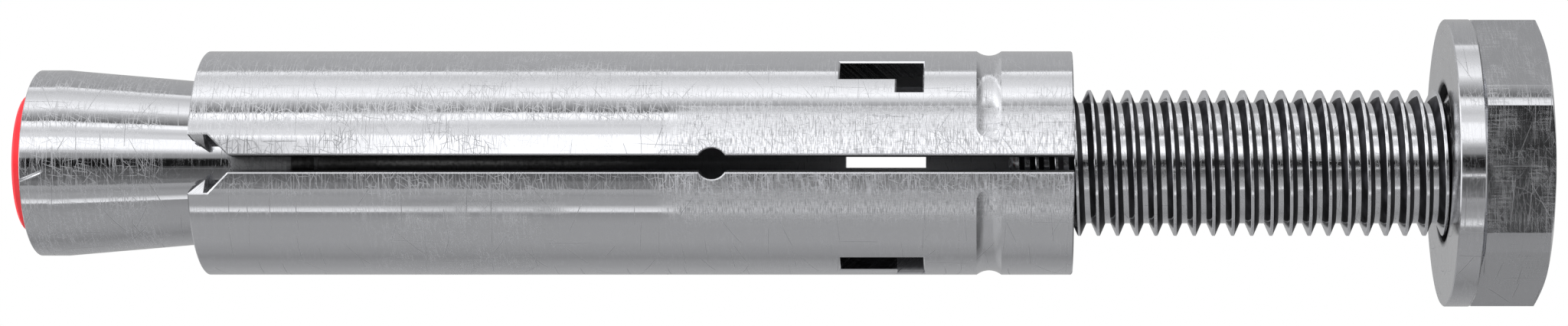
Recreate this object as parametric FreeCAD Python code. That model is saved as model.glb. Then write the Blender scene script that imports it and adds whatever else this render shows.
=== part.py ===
import FreeCAD, Part
import math
import os

# Sleeve anchor for a 24 mm hole in masonry, as five separate pieces: a rolled split
# sleeve, a cone nut with a plastic end plug in its far end, and a hex bolt with a plain
# washer. The bolt is drawn out, so that only its tip is in the sleeve.
# The axis of the anchor is X. The origin is the centre of the sleeve's mouth, the head is
# towards +X, +Z is up, and the slit of the sleeve faces -Y. All lengths are millimetres.

# Sleeve
SLEEVE_LENGTH = 90.0
SLEEVE_DIAMETER = 23.34
SLEEVE_BOLT_CLEARANCE = 1.18
SLEEVE_EDGE_BREAK = 0.12
CUT_EDGE_WIDTH = 0.15
CUT_EDGE_DEPTH = 0.12
SLIT_WIDTH = 1.75

# V notch where the slit meets the far end, and the two barbs pressed into its sides
NOTCH_WIDTH = 6.0
NOTCH_STRAIGHT = 2.0
NOTCH_TAPER = 2.13
BARB_LENGTH = 1.58
BARB_OUTER_REACH = 1.35
BARB_INNER_REACH = 1.04
BARB_CREST_DEPTH = 1.43
BARB_ROOT_DEG = 2.0

# Round relief hole on the slit
RELIEF_DIAMETER = 3.2
RELIEF_FROM_MOUTH = 36.8

# L-shaped windows
WINDOW_COUNT = 3
WINDOW_FROM_MOUTH = 15.4
WINDOW_LENGTH = 8.58
WINDOW_FOOT_LENGTH = 2.75
WINDOW_WIDTH = 3.1
WINDOW_FOOT_WIDTH = 4.97
WINDOW_START_DEG = -63.6

# Pressed groove around the sleeve, which runs out beside the slit
GROOVE_FROM_MOUTH = 8.66
GROOVE_WIDTH = 2.56
GROOVE_DEPTH = 0.45
GROOVE_END_DEG = 12.7

# Cone nut
NUT_DIAMETER = 19.36
NUT_LENGTH = 27.45
NUT_IN_SLEEVE = 9.9
NUT_RIM_LENGTH = 2.95
NUT_SLEEVE_CLEARANCE = 0.37
NUT_BORE_DIAMETER = 13.84
NUT_EDGE_BREAK = 0.1
NUT_END_BEVEL = 0.35

# End plug
PLUG_DIAMETER = 14.58
PLUG_CAP_THICKNESS = 1.4
PLUG_EDGE_BREAK = 0.25
PLUG_STEM_LENGTH = 8.0
PLUG_STEM_WALL = 1.4
PLUG_CLEARANCE = 0.05

# Bolt
THREAD_DIAMETER = 15.24
BOLT_LENGTH = 48.0
BOLT_IN_SLEEVE = 6.6
TIP_CHAMFER = 1.1
HEAD_ACROSS_FLATS = 27.0
HEAD_CORNER_DIAMETER = 29.92
HEAD_HEIGHT = 7.2
HEAD_FACE_DIAMETER = 26.76
HEAD_BEVEL_DEPTH = 0.44
HEAD_TURN_DEG = 2.3

# Washer
WASHER_DIAMETER = 30.0
WASHER_THICKNESS = 2.65
WASHER_BOLT_CLEARANCE = 0.63
WASHER_FRONT_BEVEL = 0.12
WASHER_BACK_BEVEL = 0.15

# Sizes that follow from the ones above
SLEEVE_RADIUS = SLEEVE_DIAMETER / 2
THREAD_RADIUS = THREAD_DIAMETER / 2
BORE_RADIUS = THREAD_RADIUS + SLEEVE_BOLT_CLEARANCE
SLEEVE_WALL = SLEEVE_RADIUS - BORE_RADIUS
NECK_RADIUS = BORE_RADIUS - NUT_SLEEVE_CLEARANCE
NUT_INNER_END = -SLEEVE_LENGTH + NUT_IN_SLEEVE
NUT_OUTER_END = NUT_INNER_END - NUT_LENGTH
HEAD_SEAT = BOLT_LENGTH - BOLT_IN_SLEEVE
WASHER_SEAT = HEAD_SEAT - WASHER_THICKNESS

# How far a cutter runs past the faces that it opens
OVERCUT = 1.0

ORIGIN = FreeCAD.Vector(0, 0, 0)
AXIS = FreeCAD.Vector(1, 0, 0)


def polar(x, radius, degrees):
    """A point at a radius from the axis, turned from -Y towards -Z."""
    angle = math.radians(degrees)
    return FreeCAD.Vector(x, -radius * math.cos(angle), -radius * math.sin(angle))


def turned(profile):
    """A solid turned about the axis from its half section, given as (x, radius) points."""
    corners = [polar(x, radius, 0) for x, radius in profile]
    outline = Part.makePolygon(corners + corners[:1])
    return Part.Face(outline).revolve(ORIGIN, AXIS, 360)


def sector(x_low, x_high, start_deg, sweep_deg):
    """A cutter through the sleeve's wall that spans part of a turn."""
    low = BORE_RADIUS - OVERCUT
    high = SLEEVE_RADIUS + OVERCUT
    corners = [
        polar(x_low, low, start_deg),
        polar(x_high, low, start_deg),
        polar(x_high, high, start_deg),
        polar(x_low, high, start_deg),
    ]
    outline = Part.makePolygon(corners + corners[:1])
    return Part.Face(outline).revolve(ORIGIN, AXIS, sweep_deg)


def faceted(faces):
    """A closed solid from flat faces, each given by its corners."""
    flat = [Part.Face(Part.makePolygon(corners + corners[:1])) for corners in faces]
    solid = Part.Solid(Part.Shell(flat))
    if solid.Volume < 0:
        solid.reverse()
    return solid


def half_angle(width, radius):
    """Half the angle that a slot of this width takes at this radius."""
    return math.degrees(math.asin(width / 2 / radius))


def arc_angle(length):
    """The angle that a length measured around the outside of the sleeve takes."""
    return math.degrees(length / SLEEVE_RADIUS)


def slit_cutter():
    half = half_angle(SLIT_WIDTH, SLEEVE_RADIUS)
    return sector(-SLEEVE_LENGTH - OVERCUT, OVERCUT, -half, 2 * half)


def notch_cutter():
    """The V notch: a straight stretch, then sides that close in to the slit."""
    wide = half_angle(NOTCH_WIDTH, SLEEVE_RADIUS)
    narrow = half_angle(SLIT_WIDTH, SLEEVE_RADIUS)
    straight_end = -SLEEVE_LENGTH + NOTCH_STRAIGHT
    taper_end = straight_end + NOTCH_TAPER
    low = BORE_RADIUS - OVERCUT
    high = SLEEVE_RADIUS + OVERCUT
    sections = []
    for x, half in ((straight_end, wide), (taper_end, narrow)):
        corners = [
            polar(x, low, -half),
            polar(x, high, -half),
            polar(x, high, half),
            polar(x, low, half),
        ]
        sections.append(Part.makePolygon(corners + corners[:1]))
    straight = sector(-SLEEVE_LENGTH - OVERCUT, straight_end, -wide, 2 * wide)
    return straight.fuse(Part.makeLoft(sections, True, True))


def barb(side):
    """A wedge on one side of the notch that rises from the sleeve's end to a sharp step."""
    near_end = -SLEEVE_LENGTH + SLEEVE_EDGE_BREAK
    step = -SLEEVE_LENGTH + BARB_LENGTH
    notch = half_angle(NOTCH_WIDTH, SLEEVE_RADIUS)
    root = notch + BARB_ROOT_DEG
    outer = SLEEVE_RADIUS - SLEEVE_EDGE_BREAK
    inner = BORE_RADIUS
    crest = SLEEVE_RADIUS - BARB_CREST_DEPTH
    crest_half_width = NOTCH_WIDTH / 2 - BARB_OUTER_REACH
    heel_half_width = NOTCH_WIDTH / 2 * inner / SLEEVE_RADIUS - BARB_INNER_REACH
    crest_deg = math.degrees(math.asin(crest_half_width / crest))
    heel_deg = math.degrees(math.asin(heel_half_width / inner))
    end_outer = polar(near_end, outer, side * notch)
    end_inner = polar(near_end, inner, side * notch)
    end_outer_root = polar(near_end, outer, side * root)
    end_inner_root = polar(near_end, inner, side * root)
    step_outer = polar(step, outer, side * notch)
    step_inner = polar(step, inner, side * notch)
    step_outer_root = polar(step, outer, side * root)
    step_inner_root = polar(step, inner, side * root)
    step_crest = polar(step, crest, side * crest_deg)
    step_heel = polar(step, inner, side * heel_deg)
    return faceted([
        [end_outer, end_outer_root, end_inner_root, end_inner],
        [step_outer_root, step_outer, step_crest, step_heel, step_inner, step_inner_root],
        [end_outer_root, end_outer, step_outer, step_outer_root],
        [end_outer, step_crest, step_outer],
        [end_outer, end_inner, step_crest],
        [end_inner, step_heel, step_crest],
        [end_inner, step_inner, step_heel],
        [end_inner, end_inner_root, step_inner_root, step_inner],
        [end_inner_root, end_outer_root, step_outer_root, step_inner_root],
    ])


def relief_cutter():
    centre = FreeCAD.Vector(-RELIEF_FROM_MOUTH, -SLEEVE_RADIUS - OVERCUT, 0)
    depth = SLEEVE_WALL + 3 * OVERCUT
    return Part.makeCylinder(RELIEF_DIAMETER / 2, depth, centre, FreeCAD.Vector(0, 1, 0))


def window_cutters():
    """L-shaped windows, each with its foot towards the mouth, in a ring."""
    far = -WINDOW_FROM_MOUTH - WINDOW_LENGTH
    near = -WINDOW_FROM_MOUTH
    foot = near - WINDOW_FOOT_LENGTH
    cutters = []
    for index in range(WINDOW_COUNT):
        start = WINDOW_START_DEG + index * 360 / WINDOW_COUNT
        leg = sector(far, near, start, arc_angle(WINDOW_WIDTH))
        cutters.append(leg.fuse(sector(foot, near, start, arc_angle(WINDOW_FOOT_WIDTH))))
    return cutters


def groove_cutters():
    """The ring that presses the groove, with a ball at each end where it runs out."""
    tool_radius = (GROOVE_WIDTH ** 2 / 4 + GROOVE_DEPTH ** 2) / (2 * GROOVE_DEPTH)
    tool_centre = SLEEVE_RADIUS + tool_radius - GROOVE_DEPTH
    start = GROOVE_END_DEG + half_angle(GROOVE_WIDTH, SLEEVE_RADIUS)
    ball = polar(-GROOVE_FROM_MOUTH, tool_centre, start)
    sideways = polar(0, 1, start + 90)
    circle = Part.Wire(Part.makeCircle(tool_radius, ball, sideways))
    ring = Part.Face(circle).revolve(ORIGIN, AXIS, 360 - 2 * start)
    balls = [
        Part.makeSphere(tool_radius, polar(-GROOVE_FROM_MOUTH, tool_centre, angle))
        for angle in (start, -start)
    ]
    return [ring] + balls


def broken_cut_edges(body):
    """Breaks the outer edges of the slit, the notch, the relief hole and the windows."""
    tiny = 0.001
    edges = []
    for edge in body.Edges:
        points = edge.discretize(5)
        off_surface = max(abs(math.hypot(p.y, p.z) - SLEEVE_RADIUS) for p in points)
        along = max(p.x for p in points) - min(p.x for p in points)
        at_end = along < tiny and (
            points[0].x > -2 * SLEEVE_EDGE_BREAK
            or points[0].x < -SLEEVE_LENGTH + 2 * SLEEVE_EDGE_BREAK
        )
        if off_surface < tiny and not at_end:
            edges.append(edge)
    return body.makeChamfer(CUT_EDGE_DEPTH, CUT_EDGE_WIDTH, edges)


def sleeve():
    edge = SLEEVE_EDGE_BREAK
    tube = turned([
        (-SLEEVE_LENGTH, BORE_RADIUS + edge),
        (-SLEEVE_LENGTH + edge, BORE_RADIUS),
        (-edge, BORE_RADIUS),
        (0, BORE_RADIUS + edge),
        (0, SLEEVE_RADIUS - edge),
        (-edge, SLEEVE_RADIUS),
        (-SLEEVE_LENGTH + edge, SLEEVE_RADIUS),
        (-SLEEVE_LENGTH, SLEEVE_RADIUS - edge),
    ])
    body = tube
    for cutter in [slit_cutter(), notch_cutter(), relief_cutter()] + window_cutters():
        body = body.cut(cutter)
    body = broken_cut_edges(body.removeSplitter())
    for cutter in groove_cutters():
        body = body.cut(cutter)
    for side in (-1, 1):
        body = body.fuse(barb(side))
    return body.removeSplitter()


def cone_nut():
    """Rim, taper down to the sleeve's end, and a straight neck inside the sleeve."""
    rim = NUT_DIAMETER / 2
    bore = NUT_BORE_DIAMETER / 2
    edge = NUT_EDGE_BREAK
    bevel = NUT_END_BEVEL
    return turned([
        (NUT_OUTER_END, bore + edge),
        (NUT_OUTER_END, rim - edge),
        (NUT_OUTER_END + edge, rim),
        (NUT_OUTER_END + NUT_RIM_LENGTH, rim),
        (-SLEEVE_LENGTH, NECK_RADIUS),
        (NUT_INNER_END - bevel, NECK_RADIUS),
        (NUT_INNER_END, NECK_RADIUS - bevel),
        (NUT_INNER_END, bore + bevel),
        (NUT_INNER_END - bevel, bore),
        (NUT_OUTER_END + edge, bore),
    ])


def end_plug():
    """A flat cap against the nut, with a hollow stem in the bore."""
    cap_radius = PLUG_DIAMETER / 2
    cap_face = NUT_OUTER_END - PLUG_CAP_THICKNESS
    edge = PLUG_EDGE_BREAK
    outer = NUT_BORE_DIAMETER / 2 - PLUG_CLEARANCE
    inner = outer - PLUG_STEM_WALL
    lead_in = PLUG_STEM_WALL / 2
    stem_end = NUT_OUTER_END + PLUG_STEM_LENGTH
    return turned([
        (cap_face, 0),
        (cap_face, cap_radius - edge),
        (cap_face + edge, cap_radius),
        (NUT_OUTER_END, cap_radius),
        (NUT_OUTER_END, outer),
        (stem_end - lead_in, outer),
        (stem_end, outer - lead_in),
        (stem_end, inner),
        (NUT_OUTER_END, inner),
        (NUT_OUTER_END, 0),
    ])


def washer():
    hole = THREAD_RADIUS + WASHER_BOLT_CLEARANCE
    rim = WASHER_DIAMETER / 2
    front = WASHER_FRONT_BEVEL
    back = WASHER_BACK_BEVEL
    return turned([
        (WASHER_SEAT, hole + back),
        (WASHER_SEAT, rim - front),
        (WASHER_SEAT + front, rim),
        (HEAD_SEAT - back, rim),
        (HEAD_SEAT, rim - back),
        (HEAD_SEAT, hole),
        (WASHER_SEAT + back, hole),
    ])


def hex_bolt():
    """A turned blank with a hexagon cut on its head. The thread's crests are the shank."""
    tip = HEAD_SEAT - BOLT_LENGTH
    head_end = HEAD_SEAT + HEAD_HEIGHT
    corner = HEAD_CORNER_DIAMETER / 2
    shank = turned([
        (tip, 0),
        (tip, THREAD_RADIUS - TIP_CHAMFER),
        (tip + TIP_CHAMFER, THREAD_RADIUS),
        (HEAD_SEAT + HEAD_HEIGHT / 2, THREAD_RADIUS),
        (HEAD_SEAT + HEAD_HEIGHT / 2, 0),
    ])
    blank = turned([
        (HEAD_SEAT, 0),
        (HEAD_SEAT, corner),
        (head_end - HEAD_BEVEL_DEPTH, corner),
        (head_end, HEAD_FACE_DIAMETER / 2),
        (head_end, 0),
    ])
    hex_corner = HEAD_ACROSS_FLATS / 2 / math.cos(math.radians(30))
    corners = [
        polar(HEAD_SEAT, hex_corner, HEAD_TURN_DEG + 30 + index * 60) for index in range(6)
    ]
    hexagon = Part.Face(Part.makePolygon(corners + corners[:1]))
    prism = hexagon.extrude(FreeCAD.Vector(HEAD_HEIGHT, 0, 0))
    return blank.common(prism).fuse(shank).removeSplitter()


PIECES = {
    "sleeve": sleeve,
    "cone_nut": cone_nut,
    "end_plug": end_plug,
    "washer": washer,
    "hex_bolt": hex_bolt,
}

os.makedirs("parts", exist_ok=True)
for name, make in PIECES.items():
    shape = make()
    if not shape.isValid() or len(shape.Solids) != 1:
        raise RuntimeError(name + " is not one closed solid")
    shape.Solids[0].exportStep("parts/" + name + ".step")
    box = shape.BoundBox
    print(name, "volume", round(shape.Volume, 1), "mm3, x", round(box.XMin, 2), round(box.XMax, 2))
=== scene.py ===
import math

import bmesh
import bpy
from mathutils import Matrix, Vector


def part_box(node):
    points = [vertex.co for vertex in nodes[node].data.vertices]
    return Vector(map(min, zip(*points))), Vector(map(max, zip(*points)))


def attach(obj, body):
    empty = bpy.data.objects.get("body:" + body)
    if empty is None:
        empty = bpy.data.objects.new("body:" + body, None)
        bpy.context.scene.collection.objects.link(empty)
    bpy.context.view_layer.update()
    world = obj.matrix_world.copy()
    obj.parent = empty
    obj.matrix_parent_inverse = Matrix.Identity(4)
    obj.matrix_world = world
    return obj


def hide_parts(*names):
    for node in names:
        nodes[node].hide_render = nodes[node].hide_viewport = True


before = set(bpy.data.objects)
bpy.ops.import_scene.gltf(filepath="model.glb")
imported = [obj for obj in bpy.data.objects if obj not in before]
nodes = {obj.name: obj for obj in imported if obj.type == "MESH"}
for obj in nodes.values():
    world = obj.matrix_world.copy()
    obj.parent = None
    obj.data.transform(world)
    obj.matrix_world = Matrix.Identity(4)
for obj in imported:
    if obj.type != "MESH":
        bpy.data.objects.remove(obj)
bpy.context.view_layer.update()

# The scene is in metres, and sizes are written in millimetres.
MM = 0.001

# Bolt, as in the part: its ends come from the frame
THREAD_DIAMETER = 15.24
THREAD_PITCH = 2.0
THREAD_DEPTH = 1.31
THREAD_CREST = 0.32
THREAD_ROOT = 0.54
THREAD_CREST_AT = 19.77
# The crest's edge towards the sleeve is rounded off, and shows as a bright line.
THREAD_EDGE_WIDTH = 0.07
THREAD_EDGE_DEPTH = 0.05
THREAD_STEPS = 96
FLANK_PARTS = 4
TIP_CHAMFER = 1.1
HEAD_HEIGHT = 7.2
HEAD_ACROSS_FLATS = 27.0
HEAD_CORNER_DIAMETER = 29.92
HEAD_FACE_DIAMETER = 26.76
HEAD_BEVEL_DEPTH = 0.44
HEAD_TURN_DEG = 2.3
HEAD_COLLAR_DIAMETER = 25.6
HEAD_COLLAR_HEIGHT = 0.22
HEAD_STEPS = 192
SHARP_EDGE_DEG = 14

# Camera, at the photograph's view of the side that has the slit
IMAGE_WIDTH_PX = 2048
SCALE_PX_PER_MM = 12.5
CAMERA_DISTANCE = 385.0
CAMERA_X = -8.55
CAMERA_ELEVATION_DEG = 0.3
VIEW_CENTRE_X = -30.08
SENSOR_WIDTH = 36.0

# Table and fill lamp
TABLE_HEIGHT = -60.0
TABLE_HALF_WIDTH = 1500.0
LAMP_PLACE = (-650.0, -250.0, 450.0)
LAMP_AIM = (-108.0, 0.0, 0.0)
LAMP_WIDTH = 400.0
LAMP_WATTS = 9.0

# Colours
ZINC = "#E8E9ED"
# The painted shade on the thread's flanks, dark with paler mottles
FLANK_SHADE_DARK = "#151518"
FLANK_SHADE_PALE = "#3C3C40"
PLUG_RED = "#E0262F"
PAPER = "#E4E4E6"
WHITE = "#FFFFFF"

# Half the width of a scratch. That is coarser than a real one, so that it shows.
SCRATCH_HALF_WIDTH = 0.045

# Layers of fine scratches: degrees from the axis, spread in degrees, length and gap
FINE_SCRATCHES = (
    (90.0, 14.0, 2.8, 0.7),
    (87.0, 18.0, 2.2, 0.6),
    (38.0, 60.0, 1.7, 0.8),
    (64.0, 40.0, 1.8, 0.9),
    (116.0, 40.0, 1.8, 0.9),
    (0.0, 50.0, 1.4, 0.9),
)

# Layers of deep scratches: the same, and the share of places that has one. They are upright,
# slanting, slanting the other way and lengthwise.
DEEP_SCRATCHES = (
    (90.0, 12.0, 4.5, 2.2, 0.6),
    (62.0, 24.0, 5.0, 5.0, 0.45),
    (115.0, 24.0, 4.0, 5.0, 0.45),
    (1.0, 5.0, 6.0, 3.5, 0.4),
)

# Zones of the sleeve's surface, each as (place, level) stops along the axis from the mouth,
# and around it from the slit's middle, minus above and plus below. First the handled side,
# which has more scratches than the rest, and the zones that are cleaner
HANDLED_AROUND = [
    (-11.4, 0.25), (-10.6, 0.7), (-9.2, 0.85), (-6.8, 0.7), (-5.6, 0.75), (-4.5, 1.0),
    (2.9, 1.0), (3.3, 0.3), (6.5, 0.2),
]
CLEAN_BELOW = (
    [(-89, 0.55), (-74, 0.55), (-71, 0.0), (-54, 0.0), (-51, 0.6), (-43, 0.6), (-41, 0.0)],
    [(-0.2, 0.0), (0.2, 1.0)],
)
CLEAN_ABOVE = (
    [(-88, 0.3), (-79, 0.3), (-77, 0.0), (-60, 0.0), (-57, 0.75), (-44, 0.75), (-41, 0.0)],
    [(-4.6, 0.0), (-4.2, 1.0), (-0.4, 1.0), (-0.2, 0.0)],
)
# The zones where the plate is hazy
HAZE_BY_NOTCH = (
    [(-84, 1.35), (-79, 0.95), (-67, 0.0)],
    [(-2.8, 0.0), (-2.4, 1.0), (0.0, 1.0), (0.1, 0.0)],
)
HAZE_BELOW = (
    [(-90, 0.2), (-72, 0.2), (-67, 1.8), (-54, 1.8), (-51, 0.0)],
    [(3.0, 0.0), (3.6, 1.0)],
)
HAZE_ABOVE = (
    [(-63, 0.0), (-59, 1.0), (-48, 1.0), (-45, 0.0)],
    [(-8.0, 1.0), (-7.4, 0.0)],
)
HAZE_BETWEEN = (
    [(-79, 0.0), (-76, 1.2), (-68, 1.4), (-65, 2.0), (-63, 2.0), (-57, 0.2), (-55, 0.0)],
    [(-6.9, 0.0), (-6.5, 1.0), (-5.0, 1.0), (-4.6, 0.0)],
)
# The zones where it is a little darker
DARKER_BELOW = (
    [(-90, 0.1), (-72, 0.1), (-67, 0.18), (-54, 0.18), (-51, 0.07), (-42, 0.07), (-39, 0.1)],
    [(3.4, 0.0), (3.9, 1.0), (5.3, 1.0), (5.8, 0.0)],
)
DARKER_ABOVE = (
    [(-41, 0.0), (-38, 0.12)],
    [(-6.3, 0.0), (-6.1, 1.0), (-5.6, 1.0), (-5.1, 0.0)],
)
# The zone beside the slit that is rubbed dull starts further out at some places around.
RUBBED_START = [(-40.6, 0.0), (-37.4, 1.0)]
RUBBED_BOW = [(-6.0, 0.0), (1.7, 2.4), (4.5, 0.8)]
RUBBED_AROUND = [(-6.25, 0.0), (-6.12, 1.0), (4.8, 1.0), (5.8, 0.6), (7.0, 0.0)]
# How far the sheet is bent outwards along the slit's upper edge
BENT_AROUND = [(-4.7, 0.0), (-3.3, 0.013), (-1.85, 0.037), (-0.9, 0.12)]

# Painted shade darkens the nut in its bore, by the radius, and on its neck, by the place along.
NUT_BORE = [(7.0, 1.0), (7.6, 0.0)]
NUT_NECK = [(-87.4, 0.0), (-86.4, 1.0)]
NUT_SHADE_LEVEL = 0.5
# The gouge on the nut's rim: how it slants, where it is around the axis and along it, and how
# it fades away from its middle
GOUGE_SLANT = 0.4
GOUGE_AROUND = -41.12
GOUGE_ALONG = [(-105.0, 1.0), (-104.3, 0.0)]
GOUGE_SIDES = [(0.02, 1.0), (0.18, 0.0)]
GOUGE_DEPTH = 0.05

# The painted light in the bores, a faint glow by height over the axis and by the place along: a
# thin streak of painted reflection, and a glow around it. The speckle is by the noise's value.
GLOW_STREAK = [
    (-0.5, 0.0), (-0.3, 0.006), (-0.22, 0.024), (-0.14, 0.033), (-0.03, 0.038),
    (0.11, 0.032), (0.19, 0.013), (0.3, 0.002), (0.5, 0.0),
]
GLOW_STREAK_ALONG = [(-76, 0.3), (-72, 1.0), (-62, 0.9), (-58, 0.4), (-48, 0.3), (-44, 0.1)]
GLOW_AROUND = [(-0.7, 0.0), (-0.4, 0.004), (0.4, 0.004), (0.7, 0.0)]
GLOW_AROUND_ALONG = [(-52.0, 1.0), (-46.0, 0.0)]
GLOW_SPECKLE = [(0.3, 0.45), (0.7, 1.55)]
GLOW_LEAST = 0.0004

# How bright the studio is around the anchor's axis: degrees from the camera's side, minus
# above and plus below, and the brightness there. Between two stops it changes evenly.
STUDIO = [
    # Back wall, from level with the axis to above
    (-180, 0.42), (-168, 0.445), (-124, 0.445), (-112, 0.42),
    # Large softbox overhead
    (-109.8, 0.46), (-108.4, 1.00), (-106.4, 1.05), (-103.8, 0.88), (-100.5, 0.70),
    (-98, 0.69), (-93, 0.77), (-87, 0.86), (-82, 1.06), (-77.5, 1.10), (-74, 1.22),
    (-71.5, 1.02), (-68.8, 0.77), (-65, 0.52), (-61.2, 0.40),
    # Gap between the softboxes
    (-60.4, 0.36), (-56.8, 0.25), (-54.0, 0.18),
    # Softbox in front
    (-52.8, 0.92), (-51.4, 1.22), (-49.5, 1.32), (-47.6, 1.28), (-46.0, 0.95), (-43.7, 0.82),
    (-41, 0.72), (-39.5, 0.74), (-37, 0.86), (-33.4, 0.87), (-31.6, 1.32), (-20.5, 1.35),
    # Dark behind the camera
    (-17.5, 1.02), (-14.5, 0.62), (-12, 0.40), (-7.4, 0.32), (-5.6, 0.04), (-3.5, 0.01),
    (3.2, 0.01), (4.2, 0.045), (6.4, 0.085), (7.2, 0.17), (8.2, 0.095), (12, 0.11),
    (16, 0.128), (21, 0.153),
    # Table
    (22.5, 0.205), (26.8, 0.20), (28.0, 0.41), (30, 0.40), (34.5, 0.335), (39, 0.40),
    (44, 0.42),
    # Strip lamp over the table's edge
    (47.0, 0.83), (50.0, 1.03), (51.6, 0.32),
    # Table, from the front to under the anchor, and the back wall below it
    (57, 0.33), (64, 0.365), (88, 0.365), (97, 0.337), (105, 0.318), (110, 0.290),
    (114, 0.285), (122, 0.323), (131, 0.345), (141, 0.378), (150, 0.388), (180, 0.43),
]
# How bright it is towards the anchor's ends: the direction's share along the axis, and level
STUDIO_ALONG = [(-0.95, 0.4), (-0.8, 1.2), (-0.4, 1.2), (-0.25, 1.0), (0.35, 1.0), (0.6, 0.4)]
# The softbox at each end: its direction and how bright it is, and its soft edge
END_SOFTBOXES = (((-0.99, -0.1, 0.08), 0.95), ((1.0, 0.0, 0.1), 0.35))
END_SOFTBOX_EDGE = [(0.88, 0.0), (0.93, 1.0)]
# A thin tube lamp below the lens, to the right, that the thread and the washer show
TUBE_AROUND = [(8.2, 0.0), (8.8, 1.1), (10.0, 1.1), (10.6, 0.0)]
TUBE_ALONG = [(0.02, 0.0), (0.04, 1.0)]


def linear(hex_colour):
    """A linear colour from an sRGB hex value."""
    values = [int(hex_colour[i:i + 2], 16) / 255 for i in (1, 3, 5)]
    return [v / 12.92 if v <= 0.04045 else ((v + 0.055) / 1.055) ** 2.4 for v in values] + [1.0]


def add(tree, kind, inputs=(), **settings):
    """Adds a node with its settings. An input is a value, an output or a node's first output."""
    new = tree.nodes.new(kind)
    for key, value in settings.items():
        setattr(new, key, value)
    for key, value in dict(inputs).items():
        if isinstance(value, bpy.types.Node):
            value = value.outputs[0]
        if isinstance(value, bpy.types.NodeSocket):
            tree.links.new(value, new.inputs[key])
        else:
            new.inputs[key].default_value = value
    return new


def through(tree, value, stops):
    """Follows straight lines between (place, level) stops, and stays level beyond them."""
    level = stops[0][1]
    for (start, low), (end, high) in zip(stops, stops[1:]):
        rise = add(tree, "ShaderNodeMapRange", {
            "Value": value,
            "From Min": start,
            "From Max": end,
            "To Max": high - low,
        })
        level = add(tree, "ShaderNodeMath", {0: level, 1: rise})
    return level


def built_up(tree, base, parts):
    """The base, with each (mask, strength) part added to it."""
    for mask, strength in parts:
        base = add(tree, "ShaderNodeMath", {
            0: mask,
            1: strength,
            2: base,
        }, operation="MULTIPLY_ADD")
    return base


def worn_down(tree, base, parts):
    """What is left of the base after each (mask, share) part takes its share off."""
    for mask, share in parts:
        left = add(tree, "ShaderNodeMath", {0: mask, 1: -share, 2: 1.0}, operation="MULTIPLY_ADD")
        base = add(tree, "ShaderNodeMath", {0: base, 1: left}, operation="MULTIPLY")
    return base


def largest(tree, masks):
    """The largest of several masks."""
    total = masks[0]
    for mask in masks[1:]:
        total = add(tree, "ShaderNodeMath", {0: total, 1: mask}, operation="MAXIMUM")
    return total


def area(tree, place, zone):
    """A mask of a zone of the surface rolled flat, by its stops along and around."""
    along, around = zone
    return add(tree, "ShaderNodeMath", {
        0: through(tree, place.outputs["X"], along),
        1: through(tree, place.outputs["Y"], around),
    }, operation="MULTIPLY")


def from_axis(tree, place):
    """The distance from the anchor's axis, in millimetres."""
    across = add(tree, "ShaderNodeVectorMath", {
        0: place,
        1: (0.0, 1 / MM, 1 / MM),
    }, operation="MULTIPLY")
    return add(tree, "ShaderNodeVectorMath", {0: across}, operation="LENGTH").outputs["Value"]


def angle_around(tree, place):
    """The angle around the axis from the camera's side, minus above and plus below."""
    down = add(tree, "ShaderNodeMath", {0: place.outputs["Z"], 1: -1.0}, operation="MULTIPLY")
    front = add(tree, "ShaderNodeMath", {0: place.outputs["Y"], 1: -1.0}, operation="MULTIPLY")
    return add(tree, "ShaderNodeMath", {0: down, 1: front}, operation="ARCTAN2")


def unrolled(tree, radius, faces=True):
    """The surface rolled flat: millimetres along the axis and around it, and the radius.

    Where faces is set, the distance along also grows outwards, for the end faces.
    """
    place = add(tree, "ShaderNodeTexCoord").outputs["Object"]
    xyz = add(tree, "ShaderNodeSeparateXYZ", {0: place})
    around = add(tree, "ShaderNodeMath", {
        0: angle_around(tree, xyz),
        1: radius,
    }, operation="MULTIPLY")
    out = from_axis(tree, place)
    along = add(tree, "ShaderNodeMath", {0: xyz.outputs["X"], 1: 1 / MM}, operation="MULTIPLY")
    if faces:
        further = add(tree, "ShaderNodeMath", {0: out, 1: -radius})
        along = add(tree, "ShaderNodeMath", {0: along, 1: further})
    return add(tree, "ShaderNodeCombineXYZ", {"X": along, "Y": around}), out


def stretched(tree, flat, turn_deg, length, width, seed):
    """Coordinates whose first axis runs along a line at this angle, in its lengths and widths."""
    turned = add(tree, "ShaderNodeVectorRotate", {
        "Vector": flat,
        "Angle": -math.radians(turn_deg),
    }, rotation_type="Z_AXIS")
    scaled = add(tree, "ShaderNodeVectorMath", {
        0: turned,
        1: (1 / length, 1 / width, 1.0),
    }, operation="MULTIPLY")
    return add(tree, "ShaderNodeVectorMath", {0: scaled, 1: (seed * 7.3, seed * 3.1, 0.0)})


def grain(tree, flat, turn_deg, length, width, low, high, seed):
    """A grain of fine streaks as a mask, from a noise stretched along them, in millimetres."""
    noise = add(tree, "ShaderNodeTexNoise", {
        "Vector": stretched(tree, flat, turn_deg, length, width, seed),
        "Scale": 1.0,
        "Detail": 1.0,
    }, noise_dimensions="2D")
    return through(tree, noise.outputs["Fac"], [(low, 0.0), (high, 1.0)])


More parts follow.
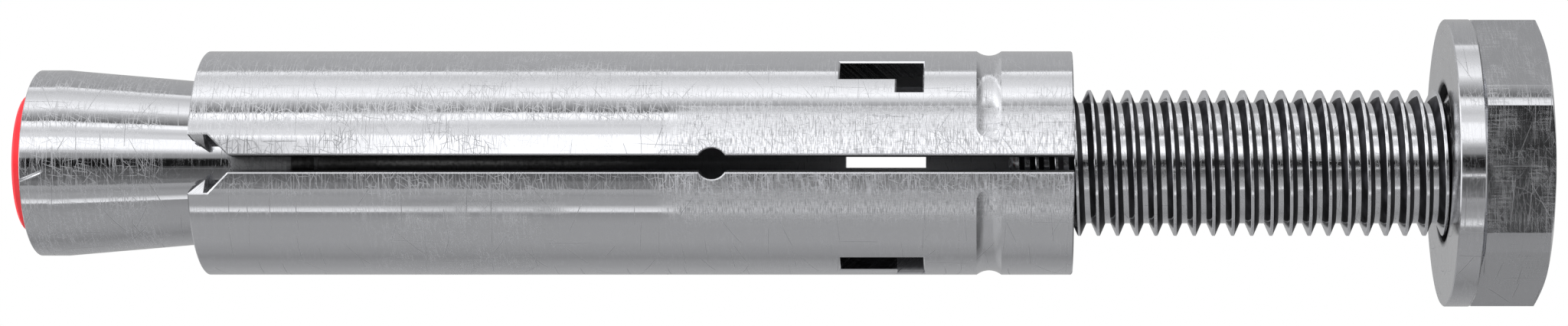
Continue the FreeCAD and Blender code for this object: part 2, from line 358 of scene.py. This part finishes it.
def scratches(tree, flat, turn_deg, spread_deg, length, gap, share, seed):
    """Straight scratches as a mask: one to a cell of this length and gap, in millimetres.

    Each leans by a chance amount within the spread, and has a chance depth. The share of the
    cells has one.
    """
    grid = stretched(tree, flat, turn_deg, length, gap, seed)
    cell = add(tree, "ShaderNodeTexVoronoi", {
        "Vector": grid,
        "Scale": 1.0,
    }, voronoi_dimensions="2D")
    away = add(tree, "ShaderNodeVectorMath", {
        0: grid,
        1: cell.outputs["Position"],
    }, operation="SUBTRACT")
    real = add(tree, "ShaderNodeVectorMath", {
        0: away,
        1: (length, gap, 0.0),
    }, operation="MULTIPLY")
    chance = add(tree, "ShaderNodeSeparateColor", {0: cell.outputs["Color"]})
    spread = math.radians(spread_deg)
    lean = built_up(tree, -spread / 2, [(chance.outputs["Red"], spread)])
    turned = add(tree, "ShaderNodeVectorRotate", {
        "Vector": real,
        "Angle": lean,
    }, rotation_type="Z_AXIS")
    apart = add(tree, "ShaderNodeVectorMath", {0: turned}, operation="ABSOLUTE")
    sides = add(tree, "ShaderNodeSeparateXYZ", {0: apart})
    line = add(tree, "ShaderNodeMath", {
        0: through(tree, sides.outputs["X"], [(length * 0.3, 1.0), (length * 0.5, 0.0)]),
        1: through(tree, sides.outputs["Y"], [
            (SCRATCH_HALF_WIDTH * 0.3, 1.0), (SCRATCH_HALF_WIDTH, 0.0),
        ]),
    }, operation="MULTIPLY")
    kept = through(tree, chance.outputs["Green"], [(share * 0.4, 1.0), (share, 0.0)])
    return add(tree, "ShaderNodeMath", {0: line, 1: kept}, operation="MULTIPLY")


def new_material(name):
    """A material, with its node tree and its shader."""
    material = bpy.data.materials.new(name)
    material.use_nodes = True
    tree = material.node_tree
    return material, tree, tree.nodes["Principled BSDF"]


def sheet_wear(tree, place, worn):
    """The sleeve's share of scratches. Handling has scratched the side of the slit most."""
    handled = add(tree, "ShaderNodeMath", {
        0: worn,
        1: through(tree, place.outputs["Y"], HANDLED_AROUND),
    }, operation="MULTIPLY")
    clean = add(tree, "ShaderNodeMath", {
        0: area(tree, place, CLEAN_BELOW),
        1: area(tree, place, CLEAN_ABOVE),
    })
    return worn_down(tree, handled, [(clean, 1.0)])


def sheet_haze(tree, place, patchy, rough, shine):
    """The sleeve's roughness and shine, with its haze and its darker zones.

    Painted shade makes the walls that were cut through the sheet darker than its plate.
    """
    by_notch = area(tree, place, HAZE_BY_NOTCH)
    clouds = built_up(tree, 0.4, [(patchy, 0.8)])
    haze = built_up(tree, by_notch, [
        (area(tree, place, zone), clouds) for zone in (HAZE_BELOW, HAZE_ABOVE, HAZE_BETWEEN)
    ])
    darker = add(tree, "ShaderNodeMath", {
        0: area(tree, place, DARKER_BELOW),
        1: area(tree, place, DARKER_ABOVE),
    })
    rough = built_up(tree, rough, [(haze, 0.1)])
    # The cut walls are darkened with painted shade.
    shine = worn_down(tree, shine, [(shaded_cut_walls(tree), 0.75), (by_notch, 0.3), (darker, 1.0)])
    return rough, shine


def brushed(tree, flat, seed):
    """A mask of a surface that is brushed both ways, in clouds."""
    both_ways = add(tree, "ShaderNodeMath", {
        0: grain(tree, flat, 0.0, 2.4, 0.16, 0.35, 0.75, seed + 14),
        1: grain(tree, flat, 90.0, 2.0, 0.16, 0.35, 0.75, seed + 15),
    })
    clouds = add(tree, "ShaderNodeMath", {
        0: grain(tree, flat, 90.0, 5.0, 3.0, 0.45, 0.65, seed + 16),
        1: 0.12,
    })
    return add(tree, "ShaderNodeMath", {0: both_ways, 1: clouds}, operation="MULTIPLY")


def plated_steel(
    name, radius, seed, cover, faces=True, smooth=0.035, shade=1.0, dull=None, rubbed=None,
    hatch=0.0, sheet=False, turned=False, gouge=None,
):
    """Bright zinc plate on rolled or turned steel: near-mirror bands under fine scratches.

    cover gives (place along, share) stops for how much of the surface is scratched.
    dull makes a mask of where the steel is matt and darkened with painted shade, and gives the
    level of that shade there, where a faint painted glow is added as well. rubbed makes a mask
    of where the plate is rubbed, and hatch is how strongly it is brushed both ways. sheet is
    set for the rolled sleeve, whose cut walls are darkened with painted shade and whose edge
    along the slit is bent. turned is set for turned pieces, whose normals are made true, and
    gouge makes a mask of a gouge.
    """
    material, tree, shader = new_material(name)
    flat, out = unrolled(tree, radius, faces)
    place = add(tree, "ShaderNodeSeparateXYZ", {0: flat})

    patchy = grain(tree, flat, 0.0, 5.0, 3.0, 0.38, 0.62, seed)
    worn = add(tree, "ShaderNodeMath", {
        0: through(tree, place.outputs["X"], cover),
        1: built_up(tree, 0.5, [(patchy, 0.7)]),
    }, operation="MULTIPLY")
    if sheet:
        worn = sheet_wear(tree, place, worn)
    fine = largest(tree, [grain(tree, flat, 90.0, 3.0, 0.1, 0.6, 0.72, seed + 1)] + [
        scratches(tree, flat, *layer, 0.9, seed + 2 + index)
        for index, layer in enumerate(FINE_SCRATCHES)
    ])
    fine = add(tree, "ShaderNodeMath", {0: fine, 1: worn}, operation="MULTIPLY")
    deep = largest(tree, [
        scratches(tree, flat, *layer, seed + 10 + index)
        for index, layer in enumerate(DEEP_SCRATCHES)
    ])

    # A scratch scatters light widely, which shows as a pale line in the dark bands.
    metallic = add(tree, "ShaderNodeMath", {
        0: fine,
        1: -0.6,
        2: 1.0,
    }, operation="MULTIPLY_ADD", use_clamp=True)
    tree.links.new(metallic.outputs[0], shader.inputs["Metallic"])
    rough = built_up(tree, 0.0, [(fine, 0.6), (deep, 0.5)])
    shine = built_up(tree, shade, [(deep, -0.14), (fine, -0.5)])
    if hatch:
        rough = built_up(tree, rough, [(brushed(tree, flat, seed), hatch)])
    if rubbed is not None:
        where = rubbed(tree, flat)
        streaky = grain(tree, flat, 90.0, 0.9, 0.08, 0.48, 0.78, seed + 9)
        mottled = grain(tree, flat, 0.0, 0.7, 0.14, 0.45, 0.7, seed + 20)
        matt = built_up(tree, 0.21, [(streaky, 0.42), (fine, 0.12)])
        paler = built_up(tree, 0.19, [(streaky, -0.25), (mottled, -0.12)])
        rough = built_up(tree, rough, [(where, matt)])
        shine = built_up(tree, shine, [(where, paler)])
    if dull is not None:
        where, level = dull(tree, flat, out)
        rough = built_up(tree, rough, [(where, 0.4)])
        # Painted shade darkens the steel where the mask is, down to its level.
        shine = worn_down(tree, shine, [(where, 1.0 - level)])
        # A faint glow stands for light that enters by more bounces than are rendered.
        glow = add(tree, "ShaderNodeMath", {0: where, 1: painted_glow_inside(tree)}, operation="MULTIPLY")
        shader.inputs["Emission Color"].default_value = linear(WHITE)
        tree.links.new(glow.outputs[0], shader.inputs["Emission Strength"])
        material.cycles.emission_sampling = "NONE"
    if sheet:
        rough, shine = sheet_haze(tree, place, patchy, rough, shine)
    rough = add(tree, "ShaderNodeMath", {0: rough, 1: smooth}, use_clamp=True)
    tree.links.new(rough.outputs[0], shader.inputs["Roughness"])
    colour = add(tree, "ShaderNodeVectorMath", {
        0: linear(ZINC)[:3],
        "Scale": shine,
    }, operation="SCALE")
    tree.links.new(colour.outputs[0], shader.inputs["Base Color"])

    # Drawing leaves long waves along the piece, and handling leaves a short grain around it.
    waves = grain(tree, flat, 0.0, 25.0, 1.7, 0.0, 1.0, seed + 17)
    lines = grain(tree, flat, 0.0, 18.0, 0.3, 0.0, 1.0, seed + 18)
    comb = grain(tree, flat, 90.0, 0.8, 0.09, 0.0, 1.0, seed + 19)
    comb = add(tree, "ShaderNodeMath", {0: comb, 1: worn}, operation="MULTIPLY")
    heights = [(waves, 0.006), (lines, 0.0007), (comb, 0.012)]
    if gouge is not None:
        heights.append((gouge(tree, flat), -GOUGE_DEPTH))
    if sheet:
        heights.append((through(tree, place.outputs["Y"], BENT_AROUND), 1.0))
    normal = true_normal(tree) if turned else None
    for height, depth in heights:
        bump = add(tree, "ShaderNodeBump", {
            "Height": height,
            "Strength": 1.0,
            "Distance": depth * MM,
        })
        if normal is not None:
            tree.links.new(normal.outputs[0], bump.inputs["Normal"])
        normal = bump
    tree.links.new(normal.outputs[0], shader.inputs["Normal"])
    return material


def facing(tree):
    """The normal, the direction outwards from the axis, and the normal's share that way."""
    coordinates = add(tree, "ShaderNodeTexCoord")
    across = add(tree, "ShaderNodeVectorMath", {
        0: coordinates.outputs["Object"],
        1: (0.0, 1.0, 1.0),
    }, operation="MULTIPLY")
    outwards = add(tree, "ShaderNodeVectorMath", {0: across}, operation="NORMALIZE")
    share = add(tree, "ShaderNodeVectorMath", {
        0: coordinates.outputs["Normal"],
        1: outwards,
    }, operation="DOT_PRODUCT")
    return coordinates.outputs["Normal"], outwards, share.outputs["Value"]


def shaded_cut_walls(tree):
    """A mask of painted shade on the walls cut through the sheet: they face around the axis."""
    normal, outwards, share = facing(tree)
    along = add(tree, "ShaderNodeSeparateXYZ", {0: normal}).outputs["X"]
    sideways = add(tree, "ShaderNodeMath", {0: share}, operation="ABSOLUTE")
    endwise = add(tree, "ShaderNodeMath", {0: along}, operation="ABSOLUTE")
    return add(tree, "ShaderNodeMath", {
        0: through(tree, sideways, [(0.35, 1.0), (0.5, 0.0)]),
        1: through(tree, endwise, [(0.9, 1.0), (0.97, 0.0)]),
    }, operation="MULTIPLY")


def true_normal(tree):
    """The normal, made true where the piece is turned: its mesh has a seam towards the camera."""
    normal, outwards, share = facing(tree)
    along = add(tree, "ShaderNodeSeparateXYZ", {0: normal}).outputs["X"]
    radial = add(tree, "ShaderNodeVectorMath", {0: outwards, "Scale": share}, operation="SCALE")
    endwise = add(tree, "ShaderNodeCombineXYZ", {"X": along})
    turned = add(tree, "ShaderNodeVectorMath", {0: radial, 1: endwise})
    length = add(tree, "ShaderNodeVectorMath", {0: turned}, operation="LENGTH").outputs["Value"]
    picked = add(tree, "ShaderNodeMix", {
        0: through(tree, length, [(0.98, 0.0), (0.99, 1.0)]),
        4: normal,
        5: turned,
    }, data_type="VECTOR")
    world = add(tree, "ShaderNodeVectorTransform", {
        0: picked.outputs[1],
    }, vector_type="NORMAL", convert_from="OBJECT", convert_to="WORLD")
    return add(tree, "ShaderNodeVectorMath", {0: world}, operation="NORMALIZE")


def painted_glow_inside(tree):
    """Painted light in a bore: a thin streak along its middle, and more towards the nut."""
    place = add(tree, "ShaderNodeTexCoord").outputs["Object"]
    scaled = add(tree, "ShaderNodeVectorMath", {0: place, "Scale": 1 / MM}, operation="SCALE")
    xyz = add(tree, "ShaderNodeSeparateXYZ", {0: scaled})
    streak = add(tree, "ShaderNodeMath", {
        0: through(tree, xyz.outputs["Z"], GLOW_STREAK),
        1: through(tree, xyz.outputs["X"], GLOW_STREAK_ALONG),
    }, operation="MULTIPLY")
    glow = built_up(tree, streak, [(
        through(tree, xyz.outputs["Z"], GLOW_AROUND),
        through(tree, xyz.outputs["X"], GLOW_AROUND_ALONG),
    )])
    noise = add(tree, "ShaderNodeTexNoise", {"Vector": place, "Scale": 2.5 / MM, "Detail": 1.0})
    speckle = through(tree, noise.outputs["Fac"], GLOW_SPECKLE)
    return built_up(tree, GLOW_LEAST, [(glow, speckle)])


def painted_shade_in_bore(start, end, level):
    """A mask of painted shade in a bore between two radii, and the shade's level there."""
    return lambda tree, flat, out: (through(tree, out, [(start, 1.0), (end, 0.0)]), level)


def painted_shade_in_nut(tree, flat, out):
    """Painted shade darkens the nut's bore and its neck inside the sleeve, which are matt."""
    place = add(tree, "ShaderNodeSeparateXYZ", {0: flat})
    bore = through(tree, out, NUT_BORE)
    neck = through(tree, place.outputs["X"], NUT_NECK)
    return largest(tree, [bore, neck]), NUT_SHADE_LEVEL


def chipped_rim(tree, flat):
    """A short gouge that slants across the nut's rim, towards the camera."""
    place = add(tree, "ShaderNodeSeparateXYZ", {0: flat})
    across = built_up(tree, place.outputs["Y"], [(place.outputs["X"], GOUGE_SLANT)])
    across = add(tree, "ShaderNodeMath", {0: across, 1: -GOUGE_AROUND})
    apart = add(tree, "ShaderNodeMath", {0: across}, operation="ABSOLUTE")
    return add(tree, "ShaderNodeMath", {
        0: through(tree, apart, GOUGE_SIDES),
        1: through(tree, place.outputs["X"], GOUGE_ALONG),
    }, operation="MULTIPLY")


def rubbed_near_slit(tree, flat):
    """Where the sleeve is rubbed dull: beside the slit, from its middle to its mouth."""
    place = add(tree, "ShaderNodeSeparateXYZ", {0: flat})
    bowed = add(tree, "ShaderNodeMath", {
        0: place.outputs["X"],
        1: through(tree, place.outputs["Y"], RUBBED_BOW),
    })
    uneven = built_up(tree, bowed, [(grain(tree, flat, 90.0, 1.6, 0.5, 0.0, 1.0, 33), 2.4)])
    return add(tree, "ShaderNodeMath", {
        0: through(tree, uneven, RUBBED_START),
        1: through(tree, place.outputs["Y"], RUBBED_AROUND),
    }, operation="MULTIPLY")


def shaded_flank(name):
    """Thread flanks between the bright crests and roots, matt and darkened with painted shade.

    Seen at a glancing angle, those towards the sleeve shine, more so near their crest.
    """
    material, tree, shader = new_material(name)
    shader.inputs["Specular IOR Level"].default_value = 0.35
    coordinates = add(tree, "ShaderNodeTexCoord")
    place = coordinates.outputs["Object"]
    away = add(tree, "ShaderNodeLayerWeight", {"Blend": 0.5}).outputs["Facing"]
    away = built_up(tree, away, [(from_axis(tree, place), 0.1)])
    normal = add(tree, "ShaderNodeSeparateXYZ", {0: coordinates.outputs["Normal"]})
    glancing = add(tree, "ShaderNodeMath", {
        0: through(tree, away, [(1.456, 0.0), (1.476, 1.0)]),
        1: through(tree, normal.outputs["X"], [(-0.1, 1.0), (0.1, 0.0)]),
    }, operation="MULTIPLY")
    tree.links.new(glancing.outputs[0], shader.inputs["Metallic"])
    rough = built_up(tree, 0.4, [(glancing, -0.2)])
    tree.links.new(rough.outputs[0], shader.inputs["Roughness"])
    # The flanks' painted shade, dark with paler mottles.
    shade_mottle = add(tree, "ShaderNodeTexNoise", {"Vector": place, "Scale": 0.5 / MM, "Detail": 3.0})
    flank_shade = add(tree, "ShaderNodeMix", {
        0: through(tree, shade_mottle.outputs["Fac"], [(0.45, 0.0), (0.75, 1.0)]),
        6: linear(FLANK_SHADE_DARK),
        7: linear(FLANK_SHADE_PALE),
    }, data_type="RGBA")
    colour = add(tree, "ShaderNodeMix", {
        0: glancing,
        6: flank_shade.outputs[2],
        7: linear(ZINC),
    }, data_type="RGBA")
    tree.links.new(colour.outputs[2], shader.inputs["Base Color"])
    return material


def moulded_plastic(name):
    """Red polyethylene, injection moulded: soft gloss and a faint grain."""
    material, tree, shader = new_material(name)
    shader.inputs["Base Color"].default_value = linear(PLUG_RED)
    shader.inputs["IOR"].default_value = 1.5
    place = add(tree, "ShaderNodeTexCoord").outputs["Object"]
    noise = add(tree, "ShaderNodeTexNoise", {"Vector": place, "Scale": 2.0 / MM, "Detail": 2.0})
    rough = through(tree, noise.outputs["Fac"], [(0.0, 0.3), (1.0, 0.42)])
    tree.links.new(rough.outputs[0], shader.inputs["Roughness"])
    bump = add(tree, "ShaderNodeBump", {
        "Height": noise.outputs["Fac"],
        "Strength": 1.0,
        "Distance": 0.002 * MM,
    })
    tree.links.new(bump.outputs[0], shader.inputs["Normal"])
    return material


def piece(name, shape, materials, body):
    """Makes an object of a finished bmesh, in metres, with its place in its mesh."""
    mesh = bpy.data.meshes.new(name)
    bmesh.ops.recalc_face_normals(shape, faces=shape.faces)
    bmesh.ops.scale(shape, vec=(MM, MM, MM), verts=shape.verts)
    shape.to_mesh(mesh)
    shape.free()
    mesh.shade_smooth()
    mesh.set_sharp_from_angle(angle=math.radians(SHARP_EDGE_DEG))
    made = bpy.data.objects.new(name, mesh)
    bpy.context.scene.collection.objects.link(made)
    for material in materials:
        mesh.materials.append(material)
    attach(made, body)
    return made


def outline(shape, points):
    """An open chain of edges through (x, radius) points on the camera's side of the axis."""
    verts = [shape.verts.new((x, -radius, 0.0)) for x, radius in points]
    edges = [shape.edges.new(pair) for pair in zip(verts, verts[1:])]
    return verts + edges


def spin(shape, points, steps, rise, merge):
    """Spins a chain of points once around the axis, and moves it by this rise at each step."""
    bmesh.ops.spin(
        shape,
        geom=outline(shape, points),
        cent=(0, 0, 0),
        axis=(1, 0, 0),
        dvec=(rise, 0, 0),
        angle=math.tau,
        steps=steps,
        use_merge=merge,
    )


def cut_off(shape, place, normal):
    """Cuts off what lies beyond a plane, and gives the edges of the cut."""
    cut = bmesh.ops.bisect_plane(
        shape,
        geom=shape.verts[:] + shape.edges[:] + shape.faces[:],
        plane_co=place,
        plane_no=normal,
        clear_outer=True,
    )
    return [edge for edge in cut["geom_cut"] if isinstance(edge, bmesh.types.BMEdge)]


def thread_profile(start):
    """One pitch of the thread's profile, as (x, radius) points."""
    crest = THREAD_DIAMETER / 2
    root = crest - THREAD_DEPTH
    flank = (THREAD_PITCH - THREAD_CREST - THREAD_ROOT) / 2
    points = [(start, root)]
    for part in range(1, FLANK_PARTS + 1):
        rise = (THREAD_DEPTH - THREAD_EDGE_DEPTH) * part / FLANK_PARTS
        points.append((start + flank * part / FLANK_PARTS, root + rise))
    points.append((start + flank + THREAD_EDGE_WIDTH, crest))
    for part in range(FLANK_PARTS + 1):
        x = start + flank + THREAD_CREST + flank * part / FLANK_PARTS
        points.append((x, crest - THREAD_DEPTH * part / FLANK_PARTS))
    points.append((start + THREAD_PITCH, root))
    return points


def bolt_thread(tip, seat):
    """The thread's profile wound along the shank, and trimmed at both ends."""
    crest = THREAD_DIAMETER / 2
    flank = (THREAD_PITCH - THREAD_CREST - THREAD_ROOT) / 2
    # The winding starts before the tip, at a root that puts the crests where the photo has them.
    start = tip - 2 * THREAD_PITCH
    one_root = THREAD_CREST_AT - THREAD_CREST / 2 - flank + THREAD_PITCH / 4
    start += (one_root - start) % THREAD_PITCH
    turns = math.ceil((seat - start) / THREAD_PITCH) + 1
    shape = bmesh.new()
    spin(shape, thread_profile(start), THREAD_STEPS, THREAD_PITCH / THREAD_STEPS, False)
    first_turn = shape.verts[:] + shape.edges[:] + shape.faces[:]
    for index in range(1, turns):
        copy = bmesh.ops.duplicate(shape, geom=first_turn)["geom"]
        moved = [item for item in copy if isinstance(item, bmesh.types.BMVert)]
        bmesh.ops.translate(shape, vec=(THREAD_PITCH * index, 0, 0), verts=moved)
    bmesh.ops.remove_doubles(shape, verts=shape.verts, dist=0.001)
    cut_off(shape, (tip, 0, 0), (-1, 0, 0))
    cut_off(shape, (seat, 0, 0), (1, 0, 0))
    for vert in shape.verts:
        limit = crest - TIP_CHAMFER + (vert.co.x - tip)
        radius = math.hypot(vert.co.y, vert.co.z)
        if radius > limit:
            vert.co.y *= limit / radius
            vert.co.z *= limit / radius
    # The steep flanks take the second material, which is darkened with painted shade.
    for face in shape.faces:
        face.normal_update()
        steep = abs(face.normal.x) > 0.8
        face.material_index = int(steep and face.calc_center_median().x > tip + TIP_CHAMFER)
    rims = [edge for edge in shape.edges if edge.is_boundary]
    bmesh.ops.contextual_create(shape, geom=[e for e in rims if e.verts[0].co.x < tip + 0.01])
    return shape


def bolt_head(seat):
    """A turned blank cut by the hexagon's six flats, on the low round face it bears with."""
    end = seat + HEAD_HEIGHT
    start = seat + HEAD_COLLAR_HEIGHT
    corner = HEAD_CORNER_DIAMETER / 2
    shape = bmesh.new()
    spin(shape, [
        (seat, 0),
        (seat, HEAD_COLLAR_DIAMETER / 2),
        (start, HEAD_COLLAR_DIAMETER / 2),
        (start, corner),
        (end - HEAD_BEVEL_DEPTH, corner),
        (end, HEAD_FACE_DIAMETER / 2),
        (end, 0),
    ], HEAD_STEPS, 0, True)
    bmesh.ops.remove_doubles(shape, verts=shape.verts, dist=0.0005)
    for index in range(6):
        angle = math.radians(HEAD_TURN_DEG + 60 * index)
        normal = Vector((0, -math.cos(angle), -math.sin(angle)))
        rim = cut_off(shape, normal * HEAD_ACROSS_FLATS / 2, normal)
        bmesh.ops.contextual_create(shape, geom=rim)
    for face in shape.faces:
        face.normal_update()
        face.material_index = int(abs(face.normal.x) > 0.9)
    return shape


def studio():
    """A soft studio around the anchor, seen by its reflections. The camera sees white."""
    world = bpy.data.worlds.new("studio")
    bpy.context.scene.world = world
    world.use_nodes = True
    tree = world.node_tree
    tree.nodes.clear()
    way = add(tree, "ShaderNodeTexCoord").outputs["Generated"]
    xyz = add(tree, "ShaderNodeSeparateXYZ", {0: way})
    degrees = add(tree, "ShaderNodeMath", {
        0: angle_around(tree, xyz),
        1: 180 / math.pi,
    }, operation="MULTIPLY")
    light = built_up(tree, through(tree, degrees, STUDIO), [(
        through(tree, degrees, TUBE_AROUND),
        through(tree, xyz.outputs["X"], TUBE_ALONG),
    )])

    # The studio is darker towards both ends of the anchor, with one softbox at each end.
    light = add(tree, "ShaderNodeMath", {
        0: light,
        1: through(tree, xyz.outputs["X"], STUDIO_ALONG),
    }, operation="MULTIPLY")
    for pole, level in END_SOFTBOXES:
        towards = add(tree, "ShaderNodeVectorMath", {0: way, 1: pole}, operation="DOT_PRODUCT")
        softbox = through(tree, towards.outputs["Value"], END_SOFTBOX_EDGE)
        light = built_up(tree, light, [(softbox, level)])

    room = add(tree, "ShaderNodeBackground", {"Color": linear(WHITE), "Strength": light})
    paper = add(tree, "ShaderNodeBackground", {"Color": linear(WHITE), "Strength": 1.0})
    seen = add(tree, "ShaderNodeLightPath").outputs["Is Camera Ray"]
    both = add(tree, "ShaderNodeMixShader", {0: seen, 1: room, 2: paper})
    add(tree, "ShaderNodeOutputWorld", {"Surface": both})


def fill_lamp():
    """A soft lamp above and to the left, which lights what isn't metal."""
    data = bpy.data.lights.new("fill_lamp", "AREA")
    data.size = LAMP_WIDTH * MM
    data.energy = LAMP_WATTS
    lamp = bpy.data.objects.new("fill_lamp", data)
    bpy.context.scene.collection.objects.link(lamp)
    lamp.location = Vector(LAMP_PLACE) * MM
    aim = Vector(LAMP_AIM) * MM - lamp.location
    lamp.rotation_euler = aim.to_track_quat("-Z", "Y").to_euler()
    lamp.visible_glossy = False


def table():
    """A pale floor below the anchor that the camera sees as white."""
    shape = bmesh.new()
    bmesh.ops.create_grid(shape, x_segments=1, y_segments=1, size=TABLE_HALF_WIDTH * MM)
    bmesh.ops.translate(shape, vec=(0, 0, TABLE_HEIGHT * MM), verts=shape.verts)
    mesh = bpy.data.meshes.new("floor")
    shape.to_mesh(mesh)
    shape.free()
    floor = bpy.data.objects.new("floor", mesh)
    bpy.context.scene.collection.objects.link(floor)
    floor.visible_glossy = False
    material = bpy.data.materials.new("pale_paper")
    material.use_nodes = True
    tree = material.node_tree
    tree.nodes.clear()
    pale = add(tree, "ShaderNodeBsdfDiffuse", {"Color": linear(PAPER)})
    white = add(tree, "ShaderNodeEmission", {"Color": linear(WHITE), "Strength": 1.0})
    seen = add(tree, "ShaderNodeLightPath").outputs["Is Camera Ray"]
    both = add(tree, "ShaderNodeMixShader", {0: seen, 1: pale, 2: white})
    add(tree, "ShaderNodeOutputMaterial", {"Surface": both})
    mesh.materials.append(material)


def camera():
    """The camera at the photograph's view, shifted sideways to its framing."""
    data = bpy.data.cameras.new("camera")
    data.lens = CAMERA_DISTANCE * SCALE_PX_PER_MM / IMAGE_WIDTH_PX * SENSOR_WIDTH
    data.sensor_width = SENSOR_WIDTH
    data.shift_x = (VIEW_CENTRE_X - CAMERA_X) * SCALE_PX_PER_MM / IMAGE_WIDTH_PX
    data.clip_start = 0.01
    data.clip_end = 10.0
    made = bpy.data.objects.new("camera", data)
    bpy.context.scene.collection.objects.link(made)
    tilt = math.radians(CAMERA_ELEVATION_DEG)
    made.location = Vector((
        CAMERA_X,
        -CAMERA_DISTANCE * math.cos(tilt),
        CAMERA_DISTANCE * math.sin(tilt),
    )) * MM
    made.rotation_euler = (math.pi / 2 - tilt, 0, 0)
    bpy.context.scene.camera = made


sleeve_steel = plated_steel(
    "zinc_plated_sheet",
    radius=11.67,
    seed=1,
    cover=[(-90, 1.0), (-43, 1.0), (-41, 0.65), (0, 0.65)],
    dull=painted_shade_in_bore(8.9, 11.4, 0.85),
    rubbed=rubbed_near_slit,
    sheet=True,
)
nut_steel = plated_steel(
    "zinc_plated_turned_steel",
    radius=9.2,
    seed=21,
    cover=[(-107.6, 0.4), (-104, 0.5), (-95, 0.5), (-93, 0.1), (-88, 0.12), (-86.5, 0.7)],
    smooth=0.02,
    shade=0.93,
    dull=painted_shade_in_nut,
    turned=True,
    gouge=chipped_rim,
)
washer_steel = plated_steel(
    "zinc_plated_stamped_steel",
    radius=15.0,
    seed=41,
    cover=[(0, 0.2), (60, 0.2)],
    smooth=0.09,
    shade=0.9,
    dull=painted_shade_in_bore(8.3, 8.9, 0.15),
    turned=True,
)
thread_steel = plated_steel(
    "zinc_plated_rolled_thread",
    radius=7.6,
    seed=61,
    cover=[(0, 0.3), (60, 0.3)],
    smooth=0.12,
)
flank_steel = shaded_flank("thread_flank_painted_shade")
head_steel = plated_steel(
    "zinc_plated_forged_steel",
    radius=13.5,
    seed=81,
    cover=[(0, 0.2), (60, 0.2)],
    faces=False,
    smooth=0.05,
    shade=0.8,
    hatch=0.17,
)
head_end_steel = plated_steel(
    "zinc_plated_faced_steel",
    radius=13.5,
    seed=101,
    cover=[(0, 0.4), (60, 0.4)],
)
plug_plastic = moulded_plastic("red_polyethylene_plug")

for node, material in (
    ("sleeve", sleeve_steel),
    ("cone_nut", nut_steel),
    ("end_plug", plug_plastic),
    ("washer", washer_steel),
):
    for place in nodes[node].material_slots:
        place.material = material

bolt_low, bolt_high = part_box("hex_bolt")
bolt_tip = bolt_low[0] / MM
bolt_seat = bolt_high[0] / MM - HEAD_HEIGHT
thread_shape = bolt_thread(bolt_tip, bolt_seat)
thread = piece("bolt_thread", thread_shape, [thread_steel, flank_steel], "bolt")
head_shape = bolt_head(bolt_seat)
head = piece("bolt_head", head_shape, [head_steel, head_end_steel], "bolt")
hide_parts("hex_bolt")
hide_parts("hex_bolt")

studio()
fill_lamp()
table()
camera()
bpy.context.scene.view_settings.view_transform = "Standard"
